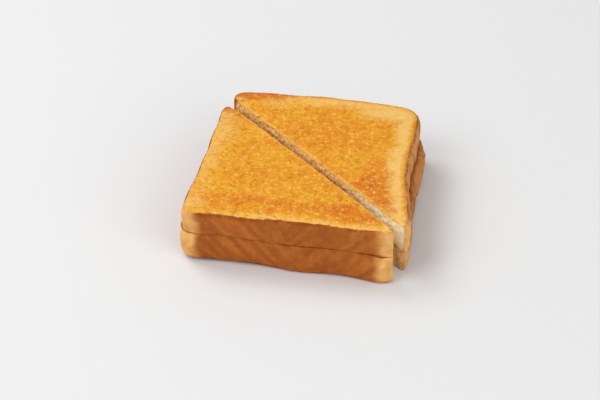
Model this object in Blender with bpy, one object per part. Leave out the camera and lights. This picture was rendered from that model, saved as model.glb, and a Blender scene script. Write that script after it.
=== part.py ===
"""A stack of two thick slices of buttered white toast, cut corner to corner in one stroke.

The slices lie flat, one on the other, with the long straight crust at the front, along X. The stroke
runs from the back left corner to the front right one. The two halves behind it have moved back a
little, so their cut faces show. Each half slice is one closed solid: crust round its outer side, the
cut along its long side, and an uneven face above and below. Each lower half stands on a level
triangle of its underside, and its edges are a little off the surface.
"""

import math
from collections.abc import Callable
from dataclasses import dataclass

import bmesh
import bpy
import numpy as np

MM = 0.001

# The stroke, from where it enters the left crust to where it leaves the front one
CUT_START = np.array([-55.4, 54.2]) * MM
CUT_END = np.array([58.5, -54.7]) * MM
# How far each cut face bows out at its middle
CUT_BOW = 0.8 * MM
# How far the halves behind the stroke have moved, to the right and back
UPPER_SHIFT = np.array([3.9, 4.1]) * MM
LOWER_SHIFT = np.array([3.1, 7.7]) * MM

# Heights
SEAM_HEIGHT = 17.8 * MM
SEAM_SLOPE = -0.02
SEAM_WAVE = 0.45 * MM
SEAM_WAVELENGTH = 60 * MM
SEAM_START = -45 * MM
SEAM_GAP = 0.3 * MM
STACK_HEIGHT = 32.2 * MM
CORNER_SAG = 0.9 * MM
FACE_WAVE = 0.35 * MM
FACE_WAVELENGTH_X = 52 * MM
FACE_WAVELENGTH_Y = 65 * MM
FACE_START_X = -7 * MM
FACE_START_Y = -3 * MM
FOOT_CLEAR = 0.25 * MM
FOOT_LIFT = 1.6 * MM
FOOT_LIFT_FROM = 5 * MM
FOOT_LIFT_FULL = -8 * MM
FOOT_HOLLOW = 0.9 * MM
FOOT_HOLLOW_PLACE = 24 * MM
FOOT_HOLLOW_REACH = 7 * MM

# How far toward its outline the level triangle of a lower half reaches
FOOT_REACH = 0.85

# The crust's section
EDGE_ROUND = 1.1 * MM
EDGE_POWER = 6
BULGE = 0.7 * MM
CUT_EDGE_ROUND = 0.5 * MM
CRUST_WAVE = 0.25 * MM
CRUST_WAVELENGTH = 27 * MM

# How far back the sides stand out, and how far back the front crust's bumps reach
FLARE_DEPTH = 62 * MM
BUMP_DEPTH = 30 * MM

# Over how much of its depth a half's tips go from blunt at the back to blunt at the front
TIP_BLEND = 60 * MM
CRUST_BLEND = 6 * MM

# Colours and shine of the toasted bread
UPPER_COLOUR = (0.80, 0.36, 0.06)
LOWER_COLOUR = (0.56, 0.22, 0.05)
TOAST_ROUGHNESS = 0.55

# How finely the shapes are drawn
CORNER_POINTS = 24
DENSE_STEP = 0.4 * MM
OUTLINE_POINTS = 96
TURN_WEIGHT = 26 * MM
WALL_BANDS = 6
FACE_RINGS = (0.965, 0.86, 0.68, 0.42)
HIDDEN_RINGS = (0.96, 0.75, 0.4)
MIDDLE_STEPS = 40
SHARP_ANGLE = math.radians(35)


@dataclass(frozen=True)
class Slice:
    """The plan of one slice, in metres from the middle of the stroke."""

    front: float
    back: float
    left: float
    right: float
    left_flare: float
    right_flare: float
    dome: float
    corners: tuple
    right_shoulder: float
    wave_start: float
    # Bumps of the front crust: the place along it, the reach, and how far out
    bumps: tuple
    # How blunt each half is at its back and its front tip
    near_tips: tuple
    far_tips: tuple


UPPER = Slice(
    front=-54.9 * MM,
    back=62.2 * MM,
    left=-55.4 * MM,
    right=50.7 * MM,
    left_flare=2.5 * MM,
    right_flare=8.2 * MM,
    dome=1.2 * MM,
    corners=(6 * MM, 6 * MM, 13 * MM, 6 * MM),
    right_shoulder=0.0,
    wave_start=-3 * MM,
    bumps=(),
    near_tips=(10.0 * MM, 2.6 * MM),
    far_tips=(3.0 * MM, 4.0 * MM),
)
LOWER = Slice(
    front=-55.2 * MM,
    back=58.5 * MM,
    left=-57.0 * MM,
    right=55.0 * MM,
    left_flare=2.3 * MM,
    right_flare=3.4 * MM,
    dome=1.5 * MM,
    corners=(9 * MM, 6 * MM, 17 * MM, 9 * MM),
    right_shoulder=3.0 * MM,
    wave_start=-10 * MM,
    bumps=((-28 * MM, 14 * MM, -1.2 * MM), (8 * MM, 9 * MM, 0.7 * MM), (46 * MM, 12 * MM, 2.4 * MM)),
    near_tips=(10.0 * MM, 4.5 * MM),
    far_tips=(3.0 * MM, 4.0 * MM),
)


@dataclass(frozen=True)
class Faces:
    """Height functions of a half slice's faces, and the rings that draw each of them."""

    below: Callable
    above: Callable
    rings_below: tuple
    rings_above: tuple
    stands: bool


def smooth(t):
    """Rises from 0 to 1 as t does, with level ends."""
    t = np.clip(t, 0.0, 1.0)
    return t * t * (3.0 - 2.0 * t)


def wave(place, wavelength, start):
    """A wave between -1 and 1 that rises through 0 at the place start."""
    return np.sin(2.0 * math.pi * (place - start) / wavelength)


def bump(place, middle, reach):
    """Rises smoothly from 0 to 1 at the middle and falls again."""
    return np.exp(-(((place - middle) / reach) ** 2))


def seam_height(x, _):
    """The middle of the gap between the two slices."""
    return SEAM_HEIGHT + SEAM_SLOPE * x + SEAM_WAVE * wave(x, SEAM_WAVELENGTH, SEAM_START)


def face_height(x, y):
    """The toasted face on top, a little low at the corners and uneven between."""
    corner = x * y / (UPPER.right * UPPER.back)
    uneven = wave(x, FACE_WAVELENGTH_X, FACE_START_X) * wave(y, FACE_WAVELENGTH_Y, FACE_START_Y)
    return STACK_HEIGHT - CORNER_SAG * corner**2 + FACE_WAVE * uneven


def foot_height(x, _):
    """How far the lower edge of the stack is off the surface: most on the left."""
    lifted = FOOT_LIFT * smooth((FOOT_LIFT_FROM - x) / (FOOT_LIFT_FROM - FOOT_LIFT_FULL))
    return FOOT_CLEAR + lifted + FOOT_HOLLOW * bump(x, FOOT_HOLLOW_PLACE, FOOT_HOLLOW_REACH)


def arc_length(points):
    """The length along a closed line up to each point and back to the first."""
    steps = np.roll(points, -1, axis=0) - points
    return np.concatenate([[0.0], np.cumsum(np.hypot(*steps.T))])


def along(points, places, lengths):
    """Points of a closed line at the given places along it."""
    closed = np.vstack([points, points[:1]])
    return np.column_stack([np.interp(places, lengths, closed[:, k]) for k in range(2)])


def rounded_rectangle(plan):
    """The slice's plan before it flares and domes, counterclockwise and evenly drawn."""
    sides = (
        (plan.left, plan.front), (plan.right, plan.front),
        (plan.right, plan.back), (plan.left, plan.back),
    )
    corners = []
    for quarter, ((x_side, y_side), radius) in enumerate(zip(sides, plan.corners, strict=True)):
        middle = (x_side - math.copysign(radius, x_side), y_side - math.copysign(radius, y_side))
        angles = math.pi + 0.5 * math.pi * (quarter + np.linspace(0.0, 1.0, CORNER_POINTS))
        corners.append(np.column_stack([np.cos(angles), np.sin(angles)]) * radius + middle)
    points = np.vstack(corners)
    lengths = arc_length(points)
    count = int(lengths[-1] / DENSE_STEP)
    return along(points, np.arange(count) * lengths[-1] / count, lengths)


def slice_outline(plan):
    """The whole slice's outline: an all but straight front crust, flaring sides, a domed back."""
    x, y = rounded_rectangle(plan).T
    flare = 1.0 - smooth((y - plan.front) / FLARE_DEPTH)
    out_left = plan.left_flare * np.clip(x / plan.left, 0.0, 1.0)
    out_right = plan.right_flare * np.clip(x / plan.right, 0.0, 1.0)
    across = (2.0 * x - plan.left - plan.right) / (plan.right - plan.left)
    depth = smooth((y - plan.front) / (plan.back - plan.front))
    at_front = 1.0 - smooth((y - plan.front) / BUMP_DEPTH)
    out_front = sum(out * bump(x, place, reach) for place, reach, out in plan.bumps)
    return np.column_stack([
        x + flare * (out_right - out_left),
        y + plan.dome * depth * (1.0 - across**2) - at_front * out_front,
    ])


def cut_normal():
    """The level direction that points behind the stroke."""
    run = (CUT_END - CUT_START) / np.linalg.norm(CUT_END - CUT_START)
    return np.array([-run[1], run[0]])


def cut_side(points):
    """How far each point lies behind the stroke; in front of it the distance is negative."""
    return (points - CUT_START) @ cut_normal()


def soften(points, reach):
    """Rounds the corners of a closed, evenly drawn line."""
    span = round(reach / DENSE_STEP)
    return np.mean([np.roll(points, k, axis=0) for k in range(-span, span + 1)], axis=0)


def thin_out(points):
    """Redraws a closed line with OUTLINE_POINTS points, closer together where it turns."""
    ahead = np.roll(points, -1, axis=0) - points
    heading = np.unwrap(np.arctan2(ahead[:, 1], ahead[:, 0]))
    turning = np.abs(np.diff(heading, append=heading[0] + 2.0 * math.pi))
    weights = np.concatenate([[0.0], np.cumsum(np.hypot(*ahead.T) + TURN_WEIGHT * turning)])
    return along(points, np.arange(OUTLINE_POINTS) * weights[-1] / OUTLINE_POINTS, weights)


def half_outline(plan, behind):
    """One half's outline, counterclockwise: its crust, then the cut, with blunt tips between."""
    points = slice_outline(plan)
    toward = -1.0 if behind else 1.0
    inside = toward * cut_side(points) < 0.0
    start = int(np.argmax(inside & ~np.roll(inside, 1)))
    crust = np.roll(points, -start, axis=0)[np.roll(inside, -start)]
    across = crust[0] - crust[-1]
    steps = int(np.linalg.norm(across) / DENSE_STEP)
    share = (np.arange(1, steps) / steps)[:, None]
    bow = CUT_BOW * 4.0 * share * (1.0 - share)
    points = np.vstack([crust, crust[-1] + share * across + toward * bow * cut_normal()])
    back_tip, front_tip = plan.far_tips if behind else plan.near_tips
    blend = smooth(0.5 + points[:, 1:] / TIP_BLEND)
    return thin_out(soften(points, front_tip) * (1.0 - blend) + soften(points, back_tip) * blend)


def outward(points):
    """The direction away from the inside at each point of a counterclockwise outline."""
    tangent = np.roll(points, -1, axis=0) - np.roll(points, 1, axis=0)
    tangent /= np.hypot(*tangent.T)[:, None]
    return np.column_stack([tangent[:, 1], -tangent[:, 0]])


def inmost(points):
    """The middle of the largest circle that fits in the half, near enough."""
    middle = points.mean(axis=0)
    for _ in range(MIDDLE_STEPS):
        nearest = points[np.argmin(np.hypot(*(points - middle).T))]
        middle = middle + (middle - nearest) / MIDDLE_STEPS
    return middle


def wall_inset(plan, crust, facing, height):
    """How far the side stands inside its outline at a height from 0, the foot, to 1, the top."""
    from_middle = 2.0 * height - 1.0
    round_off = CUT_EDGE_ROUND * (1.0 - crust) + EDGE_ROUND * crust
    shoulder = plan.right_shoulder * smooth(facing[:, 0]) * smooth(from_middle) ** 2
    bulge = BULGE * (1.0 - from_middle**2)
    return round_off * np.abs(from_middle) ** EDGE_POWER + (shoulder - bulge) * crust


def add_ring(mesh, plan_points, heights):
    """Adds one closed ring of vertices."""
    return [mesh.verts.new((x, y, z)) for (x, y), z in zip(plan_points, heights, strict=True)]


def join_rings(mesh, inner, outer):
    """Joins two rings of as many vertices by a band of quads."""
    for k in range(len(inner)):
        mesh.faces.new((inner[k - 1], inner[k], outer[k], outer[k - 1]))


def close_ring(mesh, ring, middle, height):
    """Closes a ring by triangles that meet at its middle."""
    hub = mesh.verts.new((*middle, height))
    for k in range(len(ring)):
        mesh.faces.new((ring[k - 1], ring[k], hub))


def close_with_foot(mesh, ring, middle, corners):
    """Closes a ring below by a level triangle with a corner near each of three ring points."""
    feet = []
    for corner in corners:
        x, y = middle + FOOT_REACH * (np.array(ring[corner].co[:2]) - middle)
        feet.append(mesh.verts.new((x, y, 0.0)))
    mesh.faces.new(feet)
    count = len(ring)
    places = np.arange(count)[:, None] - np.array(corners)
    owner = np.argmin(np.minimum(places % count, -places % count), axis=1)
    for k in range(count):
        foot, last_foot = feet[owner[k]], feet[owner[k - 1]]
        mesh.faces.new((ring[k - 1], ring[k], foot))
        if foot is not last_foot:
            mesh.faces.new((ring[k - 1], foot, last_foot))


def corners_of(outline):
    """Which points of a half's outline are its square corner and its two tips."""
    x, y = outline.T
    return sorted(int(k) for k in (np.argmax(np.abs(cut_side(outline))), np.argmin(x - y), np.argmax(x - y)))


def half_slice(name, plan, behind, shift, faces, material):
    """Builds one half slice."""
    outline = half_outline(plan, behind)
    facing = outward(outline)
    crust = smooth(np.abs(cut_side(outline)) / CRUST_BLEND)
    uneven = CRUST_WAVE * crust * wave(arc_length(outline)[:-1], CRUST_WAVELENGTH, plan.wave_start)
    placed = outline + shift + facing * uneven[:, None]
    middle = inmost(placed)
    foot = faces.below(*placed.T)
    rise = faces.above(*placed.T) - foot

    mesh = bmesh.new()
    levels = []
    for band in range(WALL_BANDS + 1):
        height = 0.5 - 0.5 * math.cos(math.pi * band / WALL_BANDS)
        points = placed - facing * wall_inset(plan, crust, facing, height)[:, None]
        levels.append((points, add_ring(mesh, points, foot + rise * height)))
    for (_, lower), (_, upper) in zip(levels, levels[1:], strict=False):
        join_rings(mesh, lower, upper)
    for (edge, ring), surface, scales in (
        (levels[0], faces.below, faces.rings_below),
        (levels[-1], faces.above, faces.rings_above),
    ):
        if faces.stands and surface is faces.below:
            close_with_foot(mesh, ring, middle, corners_of(outline))
            continue
        for scale in scales:
            points = middle + scale * (edge - middle)
            inner = add_ring(mesh, points, surface(*points.T))
            join_rings(mesh, inner, ring)
            ring = inner
        close_ring(mesh, ring, middle, float(surface(*middle)))
    bmesh.ops.recalc_face_normals(mesh, faces=mesh.faces)

    data = bpy.data.meshes.new(name)
    mesh.to_mesh(data)
    mesh.free()
    data.materials.append(material)
    data.shade_smooth()
    data.set_sharp_from_angle(angle=SHARP_ANGLE)
    half = bpy.data.objects.new(name, data)
    bpy.context.collection.objects.link(half)
    return half


def seam_below(x, y):
    """The face of the lower slice that the upper one lies on."""
    return seam_height(x, y) - 0.5 * SEAM_GAP


def seam_above(x, y):
    """The underside of the upper slice."""
    return seam_height(x, y) + 0.5 * SEAM_GAP


def toast_material(name, colour):
    """Browned bread, with a little shine from the butter."""
    material = bpy.data.materials.new(name)
    material.use_nodes = True
    shader = material.node_tree.nodes["Principled BSDF"]
    shader.inputs["Base Color"].default_value = (*colour, 1.0)
    shader.inputs["Roughness"].default_value = TOAST_ROUGHNESS
    shader.inputs["Metallic"].default_value = 0.0
    material.diffuse_color = (*colour, 1.0)
    return material


def centre_on_origin(objects):
    """Puts the middle of the stack's footprint at the origin, with the foot at height 0."""
    corners = np.array([vertex.co for half in objects for vertex in half.data.vertices])
    low, high = corners.min(axis=0), corners.max(axis=0)
    shift = np.array([-0.5 * (low[0] + high[0]), -0.5 * (low[1] + high[1]), -low[2]])
    for half in objects:
        for vertex in half.data.vertices:
            vertex.co = np.array(vertex.co) + shift


def build():
    for leftover in list(bpy.data.objects):
        bpy.data.objects.remove(leftover, do_unlink=True)
    upper_faces = Faces(seam_above, face_height, HIDDEN_RINGS, FACE_RINGS, stands=False)
    lower_faces = Faces(foot_height, seam_below, (), HIDDEN_RINGS, stands=True)
    halves = []
    for layer, plan, faces, back_shift, colour in (
        ("upper", UPPER, upper_faces, UPPER_SHIFT, UPPER_COLOUR),
        ("lower", LOWER, lower_faces, LOWER_SHIFT, LOWER_COLOUR),
    ):
        material = toast_material(f"{layer}_toast", colour)
        for place, shift in (("near", np.zeros(2)), ("far", back_shift)):
            name = f"{layer}_slice_{place}_half"
            halves.append(half_slice(name, plan, place == "far", shift, faces, material))
    centre_on_origin(halves)


build()
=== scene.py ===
# A stack of buttered toast. Each half slice is drawn again as a fine mesh on its solid, with a pitted
# toasted face, a wrinkled crust and open crumb on the cut. The colours come from nodes. Where they lie
# comes from values on the mesh's points, such as how far a point is from the crust.

import itertools
import math
from dataclasses import dataclass
from enum import IntEnum

import bmesh
import bpy
import numpy as np
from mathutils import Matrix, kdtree


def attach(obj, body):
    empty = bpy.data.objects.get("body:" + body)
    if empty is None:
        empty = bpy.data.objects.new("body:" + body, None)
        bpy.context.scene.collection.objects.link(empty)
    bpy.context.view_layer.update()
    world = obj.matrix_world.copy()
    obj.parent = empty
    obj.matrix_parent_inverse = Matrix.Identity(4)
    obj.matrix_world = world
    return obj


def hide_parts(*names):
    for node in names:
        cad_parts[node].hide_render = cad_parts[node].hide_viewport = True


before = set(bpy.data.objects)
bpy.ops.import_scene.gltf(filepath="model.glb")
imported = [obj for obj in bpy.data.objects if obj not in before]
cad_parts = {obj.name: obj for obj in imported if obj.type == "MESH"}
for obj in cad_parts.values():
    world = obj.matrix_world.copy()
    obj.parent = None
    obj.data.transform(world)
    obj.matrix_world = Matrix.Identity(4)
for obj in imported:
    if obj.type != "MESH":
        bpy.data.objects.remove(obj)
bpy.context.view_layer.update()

MM = 0.001

# The camera, where the photograph was taken from
CAMERA_PLACE = (0.1886, -1.1033, 0.7943)
CAMERA_TILT = math.radians(54.8)
CAMERA_TURN = math.radians(10.0)
CAMERA_LENS = 150.5
SENSOR_WIDTH = 36.0

# The lights: name, place, size and power. They point at the toast.
LIGHTS = (
    ("key", (-1.09, 0.64, 1.52), 0.96, 13.5),
    ("fill", (-1.1, -1.0, 1.5), 1.2, 13.5),
    ("right_fill", (1.5, -1.2, 1.1), 1.4, 12.0),
)
WORLD_STRENGTH = 0.52

# The floor
FLOOR_SIZE = 30.0
FLOOR_TONE_SIZE = 0.4
FLOOR_ROUGHNESS = 0.8
FLOOR_SPECULAR = 0.1

# The level direction that the cut runs in, from the back left to the front right
CUT_RUN = np.array([0.7227, -0.6910])
CUT_NORMAL = np.array([-CUT_RUN[1], CUT_RUN[0]])

# How finely the slices are drawn. Points of a solid nearer than MERGE_DISTANCE are joined first.
UPPER_VOXEL = 0.47 * MM
LOWER_VOXEL = 0.55 * MM
MERGE_DISTANCE = 0.001 * MM

# The relief of the toasted face
FACE_SWELL = 0.16 * MM
FACE_SWELL_SIZE = 11 * MM
PIT_DEPTH = 0.42 * MM
PIT_SPACING = 2.0 * MM
# How deep the pits are on the rims, as a share, and how far in from the crust they grow whole
RIM_PIT_SHARE = 0.4
RIM_PIT_END = (5 * MM, 12 * MM)
GRAIN_DEPTH = 0.12 * MM
GRAIN_SIZE = 1.0 * MM

# The relief of the crust. Its creases lean one way on the left of the front, the other on the right.
CREASE_DEPTH = 0.16 * MM
CREASE_RIGHT_DEPTH = 0.38 * MM
CREASE_WIDTH = 2.6 * MM
CREASE_LENGTH = 16 * MM
CREASE_LEAN = math.radians(48)
CREASE_TURN = (-10 * MM, 4 * MM)
CREASE_MIX_SIZE = 24 * MM
CREASE_MIX = (-0.4, 0.4)
CRUST_SWELL = 0.25 * MM
CRUST_SWELL_SIZE = 9 * MM
CRUST_GRAIN_SHARE = 0.6
EDGE_NICK = 0.55 * MM
EDGE_NICK_SIZE = 2.2 * MM
# How near to an edge the nicks are, from 0 in the middle of the crust to 1 on the edge
EDGE_NICK_PLACE = (0.75, 1.0)

# How far the crust goes on to the seam instead of rounding off, and over how much of its height
SEAM_FILL = 0.72
SEAM_FILL_UNEVEN = 0.22
SEAM_FILL_SIZE = 5 * MM
SEAM_FILL_REACH = 0.42
SEAM_FILL_IN = (2.4 * MM, 6.0 * MM)
# How much more it does so where the gap is shut, and how it fades on to the cut
SEAM_SHUT_FILL = 0.3
SEAM_CUT_FADE = (0.0, 0.5)
# How far the crusts close the gap between them, and where along the front they shut it
SEAM_CLOSE = 0.12 * MM
SEAM_CLOSE_SIZE = 2.0 * MM
SEAM_CLOSE_REACH = 0.12
SEAM_SHUT = 0.16 * MM
SEAM_SHUT_PLACES = ((-6 * MM, 9 * MM), (58 * MM, 7 * MM))

# How far the two crusts lean to each other on the right, where the lower slice stands out
SEAM_MEET = 1.1 * MM
SEAM_MEET_PLACE = 56 * MM
SEAM_MEET_REACH = 24 * MM
SEAM_MEET_FACING = (0.3, 0.8)

# A point with a normal steeper than LEVEL is on a face. The rest says how a face gives way to the
# wall, and the crust to the cut.
LEVEL = 0.9
TOP_TILT = (0.66, 0.9)
UNDER_TILT = (0.55, 0.9)
CUT_FACING = (0.72, 0.93)
EDGE_RAGGED = 0.14
EDGE_RAGGED_SIZE = 1.5 * MM
# A point is on the wall if its normal is flatter than this. The outline is read half way up the wall.
UPRIGHT = 0.3
MIDDLE_BAND = 0.1
CRUST_BAND = 0.2
# How far a corner's normal turns sideways and to the front
CORNER_SIDEWAYS = 0.5
CORNER_FORWARD = 0.3
# How squarely the crust faces a side to be a part of it, and the front for its colours
FACING = (0.5, 0.9)
FRONT_FACING = (0.5, 0.95)
# How many directions the outline is measured in
TURN_STEPS = 720
# Shorter lengths than this count as none
TINY = 1e-6

# The open crumb of the cut. The radius of a pore is given in spacings.
PORE_DEPTH = 0.9 * MM
PORE_SPACING = 3.2 * MM
SMALL_PORE_DEPTH = 0.45 * MM
SMALL_PORE_SPACING = 1.5 * MM
PORE_LEAST_RADIUS = 0.25
PORE_MOST_RADIUS = 0.75

# Inside the crust the face has a brown brink, which is browner on the right part of the back
BRINK_LEFT_WIDTH = 1.1 * MM
BRINK_RIGHT_WIDTH = 4.0 * MM
BRINK_BACK_WIDTH = 3.4 * MM
BRINK_BACK_MORE = 0.33
BRINK_BACK_RISE = (-20 * MM, 0 * MM)
BRINK_FADE = (0.2, 1.0)
BRINK_WOBBLE = 0.2
# Then it has a pale rim. Its start is given in widths of the brink.
RIM_START = (0.6, 1.5)
RIM_START_WOBBLE = 0.3
RIM_END = 11.5 * MM
RIM_FADE_START = 0.45
RIM_WOBBLE = 3.0 * MM
RIM_WOBBLE_SIZE = 7 * MM
RIM_RIPPLE = 0.4 * RIM_WOBBLE
RIM_RIPPLE_SIZE = 2.4 * MM
# How pale the rim is on the left, at the back and on the right
RIM_LEFT = 0.6
RIM_BACK = 0.8
RIM_RIGHT = 1.0
# How much of that is left at the front of the left side, and where the left and back rims fade
RIM_LEFT_FRONT = 0.45
RIM_LEFT_RISE = (-45 * MM, 5 * MM)
RIM_BACK_RISE = (-38 * MM, -4 * MM)
# At the front the face has a pale lip, less so on the left
LIP_START = 0.0 * MM
LIP_FULL = 2.2 * MM
LIP_END = 7.0 * MM
LIP_WOBBLE = 1.4 * MM
LIP_WOBBLE_SIZE = 5 * MM
LIP_RISE = (-46 * MM, -14 * MM)
LIP_LEFT = 0.3

# Where the face is browned most: middle and reach in millimetres, across and back, then how much
BROWNED_SPOTS = (
    ((40, -21), (18, 30), 0.85),
    ((27, -47), (22, 9), 0.8),
    ((-20, -45), (36, 9), 0.7),
    ((-44, 58), (34, 7), 1.35),
    ((-52, 41), (7, 7), 1.4),
    ((5, 23), (26, 20), 0.35),
    ((46, -34), (7, 6), 1.3),
    ((50, -40), (5, 6), 1.3),
    ((27, -41), (9, 6), 1.1),
    ((40, -49), (7, 4), 1.1),
)
# How much browning hides the pale rim
BROWNED_OVER_PALE = (1.05, 1.5)

# Where it is pale besides the rim, in the same way
PALE_SPOTS = (
    ((57, -48), (9, 11), 0.9),
    ((54, -57), (10, 5), 0.9),
    ((-48, 19), (7, 16), 0.3),
    ((-26, 51), (14, 6), 0.4),
    ((34, 51), (22, 8), 1.0),
    ((-55, -50), (9, 7), 0.7),
)

# How uneven the edges of the spots are and how they fade, in reaches from their middle
SPOT_UNEVEN = 0.25
SPOT_UNEVEN_SIZE = 6 * MM
SPOT_RIPPLE = 0.2
SPOT_RIPPLE_SIZE = 2.2 * MM
SPOT_FADE = (0.3, 1.2)

# How far the pale front corners of the crust reach along it, and how pale the lower far one is
CORNER_NEAR = 2.0 * MM
CORNER_FAR = 9.5 * MM
CORNER_WOBBLE = 2.2 * MM
CORNER_WOBBLE_SIZE = 5 * MM
CORNER_LOWER_FAR = 0.65

# Where the dark band along the crust's upper edge fades, from left to right
SCORCH_FADE = (-30 * MM, 6 * MM)

# How far in on the hidden faces the crust's colour goes on
HIDDEN_CRUST = (4 * MM, 7 * MM)

# Where the cut is warm with butter and where it is palest, along it from its middle, and how pale
# the lower slice's cut is. The paleness is partly the crumb's own colour and partly painted light
# where the gap between the halves opens.
CUT_PALE = (18 * MM, 62 * MM)
CUT_PALE_LOWER = 0.25
# How far down the cut the toasted face goes, as a height in the slice, and how uneven its end is
TOASTED_DOWN = (0.91, 0.95)
TOASTED_UNEVEN = 0.035
TOASTED_UNEVEN_SIZE = 1.8 * MM
# How pale the face is along the cut, and over what distance that fades
CUT_EDGE_SHARE = 0.5
CUT_EDGE_PALE = (0.6 * MM, 2.0 * MM)
CUT_EDGE_WOBBLE = 0.3
# How far from their back end the cut and the face beside it are browned
CUT_END_BROWN = (5.5 * MM, 9.5 * MM)
FACE_END_BROWN = (3 * MM, 6.5 * MM)
END_WOBBLE = 0.3

# How rough the buttered face is, and how much rougher the crust and the cut are
BUTTERED_ROUGHNESS = (0.42, 0.62)
WALL_ROUGHER = 0.3
TOAST_SPECULAR = 0.2
# The grain that is finer than the mesh
FINE_GRAIN_SIZE = 0.5 * MM
FINE_CELL_SIZE = 0.9 * MM
FINE_CELL_SHARE = 0.7
FINE_GRAIN_STRENGTH = 0.6
FINE_GRAIN_DEPTH = 0.25 * MM

# The numbers that mix the cells of a random lattice
CELL_FACTORS = (73856093, 19349663, 83492791)
SEED_FACTOR = 2654435761
MIX_FACTOR = 0x45D9F3B
MIX_BITS = 0xFFFFFFFF
VALUE_BITS = 0xFFFFFF

# How far apart the seeds of the half slices are
SEED_STEP = 100


class Shared(IntEnum):
    """The seeds of what is uneven in the same way on all half slices."""

    RIM_WOBBLE = 5
    RIM_RIPPLE = 6
    LIP = 7
    CORNER = 8
    TOASTED = 9
    RAGGED = 15
    CREASE_MIX = 35
    SEAM_FILL = 55
    SEAM_CLOSE = 56
    PALE = 61
    BROWNED = 63


class Own(IntEnum):
    """What is added to a half slice's own seed for what is uneven on it alone."""

    FACE_SWELL = 0
    PITS = 10
    GRAIN = 20
    CREASES = 30
    CRUST_SWELL = 40
    NICKS = 50
    LARGE_PORES = 60
    SMALL_PORES = 70
    TORN = 80


def smooth(value, low=0.0, high=1.0):
    """Rises from 0 to 1 as the value goes from low to high, with level ends."""
    share = np.clip((value - low) / (high - low), 0.0, 1.0)
    return share * share * (3.0 - 2.0 * share)


def lattice_value(cell, seed):
    """A fixed random value from 0 to 1 for each whole-numbered cell."""
    x, y, z = (cell[:, axis] * factor for axis, factor in enumerate(CELL_FACTORS))
    mixed = (x ^ y ^ z ^ (seed * SEED_FACTOR)) & MIX_BITS
    for _ in range(2):
        mixed = ((mixed ^ (mixed >> 16)) * MIX_FACTOR) & MIX_BITS
    return ((mixed ^ (mixed >> 16)) & VALUE_BITS) / VALUE_BITS


def noise(points, size, seed):
    """Smooth noise from -1 to 1 that changes over about the given size."""
    scaled = points / size
    cell = np.floor(scaled).astype(np.int64)
    share = smooth(scaled - cell)
    total = np.zeros(len(points))
    for corner in itertools.product((0, 1), repeat=3):
        weight = np.prod(np.where(corner, share, 1.0 - share), axis=1)
        total += weight * lattice_value(cell + np.array(corner), seed)
    return 2.0 * total - 1.0


def pores(points, spacing, seed):
    """Round hollows of mixed sizes, from 0 between them to 1 at the bottom of the deepest."""
    scaled = points / spacing
    cell = np.floor(scaled).astype(np.int64)
    deepest = np.zeros(len(points))
    for step in itertools.product((-1, 0, 1), repeat=3):
        near = cell + np.array(step)
        middle = near + np.column_stack([lattice_value(near, seed + axis) for axis in range(3)])
        larger = lattice_value(near, seed + 3)
        radius = PORE_LEAST_RADIUS + (PORE_MOST_RADIUS - PORE_LEAST_RADIUS) * larger
        gap = np.linalg.norm(scaled - middle, axis=1)
        deepest = np.maximum(deepest, (1.0 - smooth(gap / radius)) * radius / PORE_MOST_RADIUS)
    return deepest


@dataclass(frozen=True)
class Places:
    """Where each point of a half slice lies on it."""

    points: np.ndarray
    # From 0 at the underside to 1 at the top
    height: np.ndarray
    # How much it is of the top, the underside, the cut and the crust
    top: np.ndarray
    under: np.ndarray
    cut: np.ndarray
    crust: np.ndarray
    # How far round the outline, and along the cut
    around: np.ndarray
    along: np.ndarray
    # How far in from the crust, how far the crust's rounding has set it back, and where it faces
    inward: np.ndarray
    set_back: np.ndarray
    facing: np.ndarray
    # How far from the pale front corners of the crust, and from the cut
    from_corner: np.ndarray
    from_cut: np.ndarray


def fine_copy(name, node, voxel):
    """A closed and evenly drawn copy of a solid."""
    mesh = bmesh.new()
    mesh.from_mesh(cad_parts[node].data)
    bmesh.ops.remove_doubles(mesh, verts=mesh.verts, dist=MERGE_DISTANCE)
    data = bpy.data.meshes.new(name)
    mesh.to_mesh(data)
    mesh.free()
    piece = bpy.data.objects.new(name, data)
    bpy.context.collection.objects.link(piece)
    remesh = piece.modifiers.new("even", "REMESH")
    remesh.mode = "VOXEL"
    remesh.voxel_size = voxel
    evaluated = piece.evaluated_get(bpy.context.evaluated_depsgraph_get())
    fine = bpy.data.meshes.new_from_object(evaluated)
    piece.modifiers.clear()
    piece.data = fine
    fine.name = name
    return piece


def read(collection, field):
    """A vector field of the mesh's points, as rows."""
    values = np.empty(3 * len(collection), np.float32)
    collection.foreach_get(field, values)
    return values.reshape(-1, 3).astype(float)


def nearest(places, targets):
    """For each place, the nearest target's index and its distance, seen from above."""
    tree = kdtree.KDTree(len(targets))
    for index, (x, y) in enumerate(targets):
        tree.insert((x, y, 0.0), index)
    tree.balance()
    found = [tree.find((x, y, 0.0)) for x, y in places]
    _, indices, distances = zip(*found)
    return np.array(indices), np.array(distances)


def height_within(points, normals):
    """How far up the slice each point lies, measured at its own place."""
    ends = []
    for level in (normals[:, 2] < -LEVEL, normals[:, 2] > LEVEL):
        index, _ = nearest(points[:, :2], points[level, :2])
        ends.append(points[level, 2][index])
    low, high = ends
    return np.clip((points[:, 2] - low) / np.maximum(high - low, MM), 0.0, 1.0)


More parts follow.
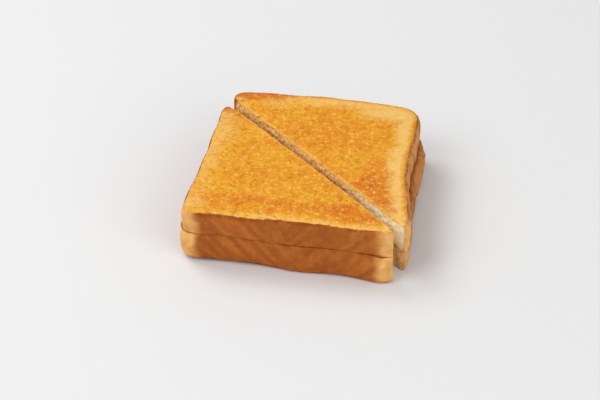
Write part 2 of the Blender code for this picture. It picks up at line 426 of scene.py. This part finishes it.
def arc_along(flat, wall, start):
    """How far round the outline each point lies, counterclockwise from the middle of the cut."""
    away = flat - flat[wall].mean(axis=0)
    side = np.array([-start[1], start[0]])
    turn = np.arctan2(-(away @ side), -(away @ start)) + math.pi
    which = np.minimum((turn / (2.0 * math.pi) * TURN_STEPS).astype(int), TURN_STEPS - 1)
    count = np.bincount(which[wall], minlength=TURN_STEPS)
    sums = [np.bincount(which[wall], flat[wall, axis], TURN_STEPS) for axis in range(2)]
    full = count > 0
    line = np.column_stack(sums)[full] / count[full, None]
    turns = (np.arange(TURN_STEPS) + 0.5)[full] * 2.0 * math.pi / TURN_STEPS
    lengths = np.concatenate([[0.0], np.cumsum(np.hypot(*np.diff(line, axis=0).T))])
    return np.interp(turn, turns, lengths)


def places_of(points, normals, far):
    """Works out where each point of a half slice lies."""
    flat = points[:, :2]
    height = height_within(points, normals)
    outward = CUT_NORMAL * (-1.0 if far else 1.0)
    level = normals[:, :2] / np.maximum(np.linalg.norm(normals[:, :2], axis=1), TINY)[:, None]
    ragged = EDGE_RAGGED * noise(points, EDGE_RAGGED_SIZE, Shared.RAGGED)
    top = smooth(normals[:, 2] + ragged, *TOP_TILT)
    under = smooth(-normals[:, 2], *UNDER_TILT)
    wall = 1.0 - top - under
    cut = smooth(level @ outward, *CUT_FACING) * wall

    upright = np.abs(normals[:, 2]) < UPRIGHT
    off_middle = np.abs(height - 0.5)
    off_cut = level @ outward < CUT_FACING[0]
    middle_points = upright & (off_middle < MIDDLE_BAND)
    crust_points = upright & off_cut & (off_middle < CRUST_BAND)
    cut_points = middle_points & (level @ outward > CUT_FACING[1])
    corner_points = middle_points & off_cut & (flat[:, 1] < 0.0)
    corner_points &= (np.abs(level[:, 0]) > CORNER_SIDEWAYS) & (level[:, 1] < -CORNER_FORWARD)
    index, inward = nearest(flat, flat[crust_points])
    facing = level[crust_points][index]
    return Places(
        points=points,
        height=height,
        top=top,
        under=under,
        cut=cut,
        crust=wall - cut,
        around=arc_along(flat, middle_points, outward),
        along=flat @ CUT_RUN,
        inward=inward,
        set_back=((flat[crust_points][index] - flat) * facing).sum(axis=1),
        facing=facing,
        from_corner=nearest(flat, flat[corner_points])[1],
        from_cut=nearest(flat, flat[cut_points])[1],
    )


def creases(at, seed):
    """Leaning creases of the crust, from -1 to 1."""
    front = smooth(-at.facing[:, 1], *FACING)
    mixed = smooth(noise(at.points, CREASE_MIX_SIZE, Shared.CREASE_MIX), *CREASE_MIX)
    share = front * smooth(at.points[:, 0], *CREASE_TURN) + (1.0 - front) * mixed
    lean_x, lean_z = math.sin(CREASE_LEAN), math.cos(CREASE_LEAN)
    layers = []
    for lean in (1.0, -1.0):
        across = at.around * lean_x + lean * at.points[:, 2] * lean_z
        length = at.around * lean_z - lean * at.points[:, 2] * lean_x
        none = np.zeros(len(across))
        unrolled = np.column_stack([across / CREASE_WIDTH, length / CREASE_LENGTH, none])
        layers.append(noise(unrolled, 1.0, seed + Own.CREASES))
    return layers[0] * (1.0 - share) + layers[1] * share


def shut_at(at):
    """How much the gap between the slices is shut at each point, by its place along the front."""
    x = at.points[:, 0]
    return sum(np.exp(-(((x - place) / reach) ** 2)) for place, reach in SEAM_SHUT_PLACES)


def seam_move(at, upper):
    """How far the edge of the crust moves out and up or down to meet the other slice."""
    to_seam = at.height if upper else 1.0 - at.height
    plan = at.points * (1.0, 1.0, 0.0)
    shut = shut_at(at)
    near = smooth(to_seam, SEAM_FILL_REACH, 0.0) * (1.0 - smooth(at.inward, *SEAM_FILL_IN))
    near *= 1.0 - smooth(at.cut, *SEAM_CUT_FADE)

    uneven = SEAM_FILL_UNEVEN * noise(plan, SEAM_FILL_SIZE, Shared.SEAM_FILL)
    fill = np.minimum(SEAM_FILL + uneven + SEAM_SHUT_FILL * shut, 1.0)
    meet = SEAM_MEET * np.exp(-(((at.points[:, 0] - SEAM_MEET_PLACE) / SEAM_MEET_REACH) ** 2))
    meet *= smooth(-at.facing[:, 1], *SEAM_MEET_FACING) * (1.0 if upper else -1.0)
    out = at.facing * ((np.maximum(at.set_back, 0.0) * fill + meet) * near)[:, None]

    closed = SEAM_CLOSE * (1.0 + noise(plan, SEAM_CLOSE_SIZE, Shared.SEAM_CLOSE)) + SEAM_SHUT * shut
    closed *= smooth(to_seam, SEAM_CLOSE_REACH, 0.0) * near
    return np.column_stack([out, -closed if upper else closed])


def relief(at, seed, upper):
    """How far each point moves out along its normal. A hidden face moves only inward."""
    swell = FACE_SWELL * noise(at.points, FACE_SWELL_SIZE, seed + Own.FACE_SWELL)
    depth = PIT_DEPTH * (RIM_PIT_SHARE + (1.0 - RIM_PIT_SHARE) * smooth(at.inward, *RIM_PIT_END))
    pits = depth * pores(at.points, PIT_SPACING, seed + Own.PITS)
    grain = GRAIN_DEPTH * noise(at.points, GRAIN_SIZE, seed + Own.GRAIN)
    hidden = at.under if upper else at.under + at.top
    shown = at.top if upper else 0.0
    face_relief = shown * (swell + grain - pits) + hidden * (np.minimum(swell + grain, 0.0) - pits)

    lumps = CRUST_SWELL * noise(at.points, CRUST_SWELL_SIZE, seed + Own.CRUST_SWELL)
    at_edge = smooth(np.abs(2.0 * at.height - 1.0), *EDGE_NICK_PLACE)
    nicks = EDGE_NICK * np.minimum(noise(at.points, EDGE_NICK_SIZE, seed + Own.NICKS), 0.0) * at_edge
    right = smooth(at.facing[:, 0], *FACING)
    crease_depth = CREASE_DEPTH + (CREASE_RIGHT_DEPTH - CREASE_DEPTH) * right
    crust_relief = crease_depth * creases(at, seed) + lumps + nicks + CRUST_GRAIN_SHARE * grain

    large = PORE_DEPTH * pores(at.points, PORE_SPACING, seed + Own.LARGE_PORES)
    small = SMALL_PORE_DEPTH * pores(at.points, SMALL_PORE_SPACING, seed + Own.SMALL_PORES)
    torn = GRAIN_DEPTH * noise(at.points, GRAIN_SIZE, seed + Own.TORN)
    cut_relief = torn - large - small
    cut_relief -= (cut_relief * at.cut).sum() / at.cut.sum()
    return face_relief + at.crust * crust_relief + at.cut * cut_relief


def spotted(at, spots, seed):
    """How much each point is in one of the spots, which have uneven edges."""
    x, y = at.points[:, 0], at.points[:, 1]
    uneven = SPOT_UNEVEN * noise(at.points, SPOT_UNEVEN_SIZE, seed)
    uneven += SPOT_RIPPLE * noise(at.points, SPOT_RIPPLE_SIZE, seed + 1)
    most = np.zeros(len(x))
    for (middle_x, middle_y), (reach_x, reach_y), share in spots:
        away = np.hypot((x - middle_x * MM) / (reach_x * MM), (y - middle_y * MM) / (reach_y * MM))
        most = np.maximum(most, share * (1.0 - smooth(away + uneven, *SPOT_FADE)))
    return most


def rim_and_brink(at, wobble):
    """How much each point is of the pale rim, and of the brown brink outside it."""
    x, y = at.points[:, 0], at.points[:, 1]
    front = smooth(-at.facing[:, 1], *FRONT_FACING)
    back = smooth(at.facing[:, 1], *FACING)
    side = 1.0 - front - back
    left = at.facing[:, 0] < 0.0
    left_share = RIM_LEFT * (RIM_LEFT_FRONT + (1.0 - RIM_LEFT_FRONT) * smooth(y, *RIM_LEFT_RISE))
    strength = side * np.where(left, left_share, RIM_RIGHT)
    strength += back * RIM_BACK * smooth(x, *RIM_BACK_RISE)

    width = side * np.where(left, BRINK_LEFT_WIDTH, BRINK_RIGHT_WIDTH) + back * BRINK_BACK_WIDTH
    width = np.maximum(width, BRINK_LEFT_WIDTH)
    start, full = RIM_START
    rim = smooth(at.inward + RIM_START_WOBBLE * wobble, start * width, full * width)
    end = RIM_END + width - BRINK_LEFT_WIDTH
    rim *= 1.0 - smooth(at.inward + wobble, RIM_FADE_START * end, end)
    brink = 1.0 - smooth((at.inward + BRINK_WOBBLE * wobble) / width, *BRINK_FADE)
    brink *= (1.0 - front) * (1.0 + BRINK_BACK_MORE * back * smooth(x, *BRINK_BACK_RISE))
    return rim * strength, brink


def lip_at(at, wobble):
    """How much each point is of the pale lip at the front."""
    lip = smooth(at.inward, LIP_START, LIP_FULL)
    lip *= 1.0 - smooth(at.inward + wobble, LIP_FULL, LIP_END)
    lip *= smooth(-at.facing[:, 1], *FRONT_FACING)
    return lip * (LIP_LEFT + (1.0 - LIP_LEFT) * smooth(at.points[:, 0], *LIP_RISE))


def colouring(at, seed, upper, far):
    """How much each point is of each part of the toast, by the names that the material reads."""
    wobble = RIM_WOBBLE * noise(at.points, RIM_WOBBLE_SIZE, Shared.RIM_WOBBLE)
    wobble += RIM_RIPPLE * noise(at.points, RIM_RIPPLE_SIZE, Shared.RIM_RIPPLE)
    lip_wobble = LIP_WOBBLE * noise(at.points, LIP_WOBBLE_SIZE, Shared.LIP)
    from_end = at.along - at.along.min() + END_WOBBLE * wobble
    end = 1.0 - smooth(from_end, *CUT_END_BROWN)
    face_end = 1.0 - smooth(from_end, *FACE_END_BROWN)

    rim, brink = rim_and_brink(at, wobble)
    browned = spotted(at, BROWNED_SPOTS, Shared.BROWNED)
    pale = np.maximum(rim, spotted(at, PALE_SPOTS, Shared.PALE))
    pale *= 1.0 - smooth(browned, *BROWNED_OVER_PALE)
    cut_edge = 1.0 - smooth(at.from_cut + CUT_EDGE_WOBBLE * lip_wobble, *CUT_EDGE_PALE)
    pale = np.maximum(pale, CUT_EDGE_SHARE * cut_edge)

    down = at.height + TOASTED_UNEVEN * noise(at.points, TOASTED_UNEVEN_SIZE, Shared.TOASTED)
    hidden = at.under if upper else at.under + at.top
    hidden_crust = hidden * (1.0 - smooth(at.inward, *HIDDEN_CRUST))
    corner_wobble = CORNER_WOBBLE * noise(at.points, CORNER_WOBBLE_SIZE, Shared.CORNER)
    corner = 1.0 - smooth(at.from_corner + corner_wobble, CORNER_NEAR, CORNER_FAR)
    scorch_and_seam_shade = 1.0 - smooth(at.points[:, 0], *SCORCH_FADE)
    return {
        "cut": at.cut * (1.0 - end) * (1.0 - smooth(down, *TOASTED_DOWN)),
        "crust": at.crust + hidden_crust + at.cut * end,
        "height": at.height,
        # How each point lies across the creases, for their painted shading
        "crease": creases(at, seed),
        "rim": pale,
        "brink": np.maximum(brink, face_end),
        "lip": lip_at(at, lip_wobble),
        "browned": browned,
        "corner": corner * at.crust * (CORNER_LOWER_FAR if far and not upper else 1.0),
        "right": smooth(at.facing[:, 0], *FACING) * at.crust,
        # Below the seam the dark line is painted seam shade: it thins, and the crust below it is
        # painted lighter, where the gap is shut or the crust is pale
        "scorch_and_seam_shade": scorch_and_seam_shade if upper else -np.minimum(shut_at(at) + corner, 1.0),
        # Paler towards the cut's open end, partly painted light where the gap opens
        "open": smooth(at.along, *CUT_PALE) * (1.0 if upper else CUT_PALE_LOWER),
    }


def keep_value(mesh, name, values):
    """Keeps a value on each point for the material to read."""
    attribute = mesh.attributes.new(name, "FLOAT", "POINT")
    attribute.data.foreach_set("value", np.asarray(values, np.float32))


def half_slice(layer, half, seed):
    """One half slice: its solid drawn finely, with relief and the values that colour it."""
    upper = layer == "upper"
    far = half == "far"
    voxel = UPPER_VOXEL if upper else LOWER_VOXEL
    node = f"{layer}_slice_{half}_half"
    piece = fine_copy(f"{layer}_toast_{half}", node, voxel)
    points, normals = read(piece.data.vertices, "co"), read(piece.data.vertices, "normal")
    at = places_of(points, normals, far)
    moved = points + seam_move(at, upper) + normals * relief(at, seed, upper)[:, None]
    piece.data.vertices.foreach_set("co", moved.astype(np.float32).ravel())
    piece.data.shade_smooth()
    piece.data.update()

    for name, values in colouring(at, seed, upper, far).items():
        keep_value(piece.data, name, values)
    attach(piece, "root")
    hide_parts(node)
    return piece


def linear(red, green, blue):
    """A colour from 0 to 255 as the eye sees it, as the shader wants it."""
    def one(value):
        value /= 255.0
        return value / 12.92 if value <= 0.04045 else ((value + 0.055) / 1.055) ** 2.4

    return (one(red), one(green), one(blue), 1.0)


# Colours of the toasted face, the crust, the crumb and the floor
GOLDEN = linear(232, 164, 26)
AMBER = linear(218, 114, 8)
BURNT = linear(205, 104, 14)
HONEY_AND_GLINT = linear(255, 202, 104)
# The pale grain colour, partly painted glints
DEEP = linear(176, 94, 18)
BROWN_SPECK = linear(142, 76, 20)
RIM = linear(241, 197, 113)
BRINK = linear(184, 104, 32)
LIP = linear(246, 190, 98)
CRUST = linear(178, 98, 33)
# The dark and light crust colours also paint the shading of the creases; the light one also paints the
# shade low in the cut
CRUST_DARK = linear(146, 72, 23)
CRUST_LIGHT = linear(202, 122, 52)
CRUST_PALE = linear(242, 184, 108)
# The dark crust line, which is also painted shade along the seam and at the foot
CRUST_LINE_AND_SHADE = linear(138, 64, 20)
CRUMB = linear(254, 213, 138)
CRUMB_DARK = linear(221, 161, 90)
# The pale crumb, partly painted light where the gap between the halves opens
CRUMB_PALE = linear(255, 240, 204)
CRUMB_EDGE = linear(248, 200, 124)
FLOOR_LIGHT = linear(232, 232, 232)
FLOOR_DARK = linear(228, 228, 228)


class Graph:
    """Builds a material's nodes."""

    def __init__(self, name):
        self.material = bpy.data.materials.new(name)
        self.material.use_nodes = True
        self.tree = self.material.node_tree
        self.shader = self.tree.nodes["Principled BSDF"]
        self.place = self.tree.nodes.new("ShaderNodeTexCoord").outputs["Object"]

    def connect(self, socket, value):
        """Links an output to a socket, or sets the socket to a plain value."""
        if isinstance(value, bpy.types.NodeSocket):
            self.tree.links.new(value, socket)
        else:
            socket.default_value = value

    def value(self, name):
        """A value kept on the mesh's points."""
        node = self.tree.nodes.new("ShaderNodeAttribute")
        node.attribute_name = name
        return node.outputs["Fac"]

    def math(self, operation, *values):
        """A sum, a product or the like."""
        node = self.tree.nodes.new("ShaderNodeMath")
        node.operation = operation
        for socket, value in zip(node.inputs, values):
            self.connect(socket, value)
        return node.outputs[0]

    def scaled(self, value, by, plus=0.0):
        """The value times a number, plus another value or number."""
        return self.math("MULTIPLY_ADD", value, by, plus)

    def noise(self, size, seed=0.0, detail=3.0, roughness=0.5):
        """Noise from 0 to 1 whose lumps are about the given size."""
        node = self.tree.nodes.new("ShaderNodeTexNoise")
        node.noise_dimensions = "4D"
        self.connect(node.inputs["Vector"], self.place)
        node.inputs["W"].default_value = seed
        node.inputs["Scale"].default_value = 0.5 / size
        node.inputs["Detail"].default_value = detail
        node.inputs["Roughness"].default_value = roughness
        return node.outputs["Fac"]

    def cells(self, size):
        """The distance to the middle of the nearest cell of about the given size."""
        node = self.tree.nodes.new("ShaderNodeTexVoronoi")
        self.connect(node.inputs["Vector"], self.place)
        node.inputs["Scale"].default_value = 1.0 / size
        return node.outputs["Distance"]

    def rise(self, value, low, high, start=0.0, end=1.0):
        """Goes from start to end as the value goes from low to high."""
        node = self.tree.nodes.new("ShaderNodeMapRange")
        node.interpolation_type = "SMOOTHSTEP"
        for name, given in (("Value", value), ("From Min", low), ("From Max", high),
                            ("To Min", start), ("To Max", end)):
            self.connect(node.inputs[name], given)
        return node.outputs["Result"]

    def mix(self, share, first, second):
        """A colour that goes from the first to the second."""
        node = self.tree.nodes.new("ShaderNodeMix")
        node.data_type = "RGBA"
        self.connect(node.inputs["Factor"], share)
        self.connect(node.inputs[6], first)
        self.connect(node.inputs[7], second)
        return node.outputs[2]

    def tint(self, colour, other, where, most):
        """The colour with another over it, at most as much as given."""
        return self.mix(self.math("MULTIPLY", where, most), colour, other)


def face_colour(graph):
    """Golden toast: patches, pale grains that are partly painted glints, deep grains, dark specks, a
    pale rim and lip, a brown brink.
    """
    browned, rim = graph.value("browned"), graph.value("rim")
    patches = graph.rise(graph.noise(size=8 * MM, seed=1.0), low=0.42, high=0.66)
    mottle = graph.rise(graph.noise(size=2.6 * MM, roughness=0.6, seed=2.0), low=0.42, high=0.62)
    colour = graph.tint(GOLDEN, AMBER, patches, most=0.3)
    colour = graph.tint(colour, AMBER, browned, most=0.5)
    colour = graph.tint(colour, AMBER, mottle, most=graph.scaled(browned, by=0.4, plus=0.4))

    burnt = graph.scaled(graph.noise(size=4.0 * MM, roughness=0.6, seed=5.0), by=1.6, plus=browned)
    colour = graph.tint(colour, BURNT, graph.rise(burnt, low=1.45, high=1.85), most=0.55)
    colour = graph.tint(colour, RIM, rim, most=0.8)
    colour = graph.tint(colour, LIP, graph.value("lip"), most=0.8)

    grain = graph.noise(size=1.15 * MM, roughness=0.8, seed=3.0)
    deep = graph.rise(grain, low=0.47, high=0.36)
    colour = graph.tint(colour, DEEP, deep, most=graph.scaled(rim, by=-0.45, plus=0.58))
    # Pale grains: partly the toast's own colour, partly painted glints
    colour = graph.tint(colour, HONEY_AND_GLINT, graph.rise(grain, low=0.53, high=0.65), most=0.6)

    speckled = graph.noise(size=1.5 * MM, detail=2.0, roughness=0.6, seed=4.0)
    speckled = graph.scaled(browned, by=0.08, plus=speckled)
    speckled = graph.scaled(rim, by=-0.08, plus=speckled)
    colour = graph.tint(colour, BROWN_SPECK, graph.rise(speckled, low=0.70, high=0.77), most=0.6)
    return graph.tint(colour, BRINK, graph.value("brink"), most=0.75)


def crust_colour(graph, corner_share, right_share, line_share):
    """Brown crust with leaning streaks of painted crease shading, pale at the corners, dark and
    spotted along its edges.
    """
    height, crease = graph.value("height"), graph.value("crease")
    patches = graph.rise(graph.noise(size=8 * MM, seed=7.0), low=0.35, high=0.70)
    fine = graph.noise(size=1.6 * MM, roughness=0.7, seed=7.5)
    # Painted shading of the creases: painted shade in their grooves, painted light on their ridges
    colour = graph.tint(CRUST, CRUST_DARK, graph.rise(crease, low=-0.1, high=-0.6), most=0.42)
    colour = graph.tint(colour, CRUST_LIGHT, graph.rise(crease, low=0.1, high=0.6), most=0.4)
    colour = graph.tint(colour, CRUST_DARK, patches, most=0.35)
    colour = graph.tint(colour, CRUST_LIGHT, graph.rise(fine, low=0.52, high=0.66), most=0.35)
    colour = graph.tint(colour, CRUST_DARK, graph.rise(fine, low=0.48, high=0.34), most=0.35)

    right = graph.value("right")
    colour = graph.tint(colour, CRUST_PALE, right, most=right_share)
    # Painted shade in the grooves of the folds on the right-facing crust
    fold_shade = graph.math("MULTIPLY", graph.rise(crease, low=0.0, high=-0.45), right)
    colour = graph.tint(colour, CRUST_DARK, fold_shade, most=0.45)

    # A dark dotted line along the crust's upper edge: the toast's own dark edge on the upper slice,
    # painted seam shade on the lower one
    dots = graph.noise(size=1.5 * MM, detail=2.0, roughness=0.6, seed=8.0)
    scorch_and_seam_shade = graph.value("scorch_and_seam_shade")
    edge = graph.scaled(scorch_and_seam_shade, by=0.04, plus=graph.scaled(dots, by=0.5, plus=height))
    colour = graph.tint(colour, CRUST_LINE_AND_SHADE, graph.rise(edge, low=1.14, high=1.26), most=line_share)
    # Darker towards the upper edge on the upper slice; on the lower slice painted lighter below the
    # seam where the gap is shut
    below = graph.math("MULTIPLY", graph.rise(height, low=0.72, high=0.95), scorch_and_seam_shade)
    colour = graph.tint(colour, CRUST_DARK, below, most=0.4)
    # Dark dots along the foot: painted shade at the seam under the upper slice and at the floor under
    # the lower one
    foot_shade = graph.scaled(dots, by=-0.2, plus=height)
    colour = graph.tint(colour, CRUST_LINE_AND_SHADE, graph.rise(foot_shade, low=-0.04, high=-0.12), most=0.35)

    mottle = graph.noise(size=3.2 * MM, roughness=0.6, seed=8.5)
    mottle = graph.rise(mottle, low=0.35, high=0.65, start=0.72, end=1.15)
    pale = graph.math("MULTIPLY", mottle, corner_share)
    return graph.tint(colour, CRUST_PALE, graph.value("corner"), most=pale)


def crumb_colour(graph):
    """Open crumb, warm with butter, painted shade low in the gap, paler at its open end partly as
    painted light, golden at its top edge.
    """
    lit_open_end = graph.value("open")
    tone = graph.rise(graph.noise(size=1.1 * MM, roughness=0.75, seed=9.0), low=0.43, high=0.58)
    colour = graph.mix(tone, CRUMB, CRUMB_DARK)
    # Paler towards the open end: partly the crumb's own colour, partly painted light where the gap
    # opens
    colour = graph.tint(colour, CRUMB_PALE, lit_open_end, most=graph.scaled(tone, by=-0.3, plus=1.0))

    # Painted shade lower down the cut, in the gap between the halves, less where the gap opens
    uneven = graph.noise(size=1.4 * MM, detail=2.0, seed=10.0)
    uneven = graph.scaled(uneven, by=0.3, plus=graph.value("height"))
    below = graph.rise(uneven, low=0.9, high=0.5)
    colour = graph.tint(colour, CRUST_LIGHT, below, most=graph.scaled(lit_open_end, by=-0.3, plus=0.3))
    return graph.tint(colour, CRUMB_EDGE, graph.rise(uneven, low=1.02, high=1.1), most=0.6)


def toast_material(name, corner_share, right_share, line_share):
    """Toasted bread with butter soaked in, duller on the crust and the cut."""
    graph = Graph(name)
    cut, crust = graph.value("cut"), graph.value("crust")
    brown = crust_colour(graph, corner_share, right_share, line_share)
    colour = graph.mix(crust, face_colour(graph), brown)
    colour = graph.mix(cut, colour, crumb_colour(graph))
    graph.connect(graph.shader.inputs["Base Color"], colour)

    buttered = graph.noise(size=6 * MM, detail=2.0, seed=11.0)
    buttered = graph.rise(buttered, 0.35, 0.65, *BUTTERED_ROUGHNESS)
    duller = graph.rise(graph.math("MAXIMUM", cut, crust), 0.0, 1.0, end=WALL_ROUGHER)
    graph.connect(graph.shader.inputs["Roughness"], graph.math("ADD", buttered, duller))
    graph.shader.inputs["Specular IOR Level"].default_value = TOAST_SPECULAR

    grain = graph.noise(size=FINE_GRAIN_SIZE, roughness=0.6, seed=12.0)
    grain = graph.scaled(graph.cells(size=FINE_CELL_SIZE), by=FINE_CELL_SHARE, plus=grain)
    bump = graph.tree.nodes.new("ShaderNodeBump")
    bump.inputs["Strength"].default_value = FINE_GRAIN_STRENGTH
    bump.inputs["Distance"].default_value = FINE_GRAIN_DEPTH
    graph.connect(bump.inputs["Height"], grain)
    graph.connect(graph.shader.inputs["Normal"], bump.outputs["Normal"])
    return graph.material


def make_floor():
    """A plain pale floor, wide enough to run out of every view."""
    bpy.ops.mesh.primitive_plane_add(size=FLOOR_SIZE, location=(0.0, 0.0, 0.0))
    floor = bpy.context.object
    floor.name = "floor"
    graph = Graph("floor_paint")
    tone = graph.mix(graph.noise(size=FLOOR_TONE_SIZE, detail=1.0), FLOOR_LIGHT, FLOOR_DARK)
    graph.connect(graph.shader.inputs["Base Color"], tone)
    graph.shader.inputs["Roughness"].default_value = FLOOR_ROUGHNESS
    graph.shader.inputs["Specular IOR Level"].default_value = FLOOR_SPECULAR
    floor.data.materials.append(graph.material)


def make_light(name, place, size, power):
    """A soft square light that points at the toast."""
    data = bpy.data.lights.new(name, "AREA")
    data.size = size
    data.energy = power
    light = bpy.data.objects.new(name, data)
    light.location = place
    light.rotation_euler = light.location.to_track_quat("Z", "Y").to_euler()
    bpy.context.collection.objects.link(light)


def make_surroundings():
    """Soft studio light from the back left and both sides in front, and pale light all round."""
    world = bpy.data.worlds.new("studio")
    world.use_nodes = True
    background = world.node_tree.nodes["Background"]
    background.inputs["Color"].default_value = (1.0, 1.0, 1.0, 1.0)
    background.inputs["Strength"].default_value = WORLD_STRENGTH
    bpy.context.scene.world = world
    bpy.context.scene.view_settings.view_transform = "Standard"
    for light in LIGHTS:
        make_light(*light)


def make_camera():
    """The camera of the photograph."""
    data = bpy.data.cameras.new("camera")
    data.lens = CAMERA_LENS
    data.sensor_width = SENSOR_WIDTH
    data.sensor_fit = "HORIZONTAL"
    camera = bpy.data.objects.new("camera", data)
    camera.location = CAMERA_PLACE
    camera.rotation_euler = (CAMERA_TILT, 0.0, CAMERA_TURN)
    bpy.context.collection.objects.link(camera)
    bpy.context.scene.camera = camera


def main():
    """Draws the toast, the floor, the camera and the light."""
    materials = {
        "upper": toast_material("upper_toast", corner_share=0.8, right_share=0.5, line_share=0.85),
        # On the lower slice the dark line runs along the seam as painted seam shade
        "lower": toast_material("lower_toast", corner_share=0.92, right_share=0.3, line_share=0.2),
    }
    halves = itertools.product(("upper", "lower"), ("near", "far"))
    for number, (layer, half) in enumerate(halves, start=1):
        piece = half_slice(layer, half, number * SEED_STEP)
        piece.data.materials.clear()
        piece.data.materials.append(materials[layer])
    make_floor()
    make_camera()
    make_surroundings()


main()
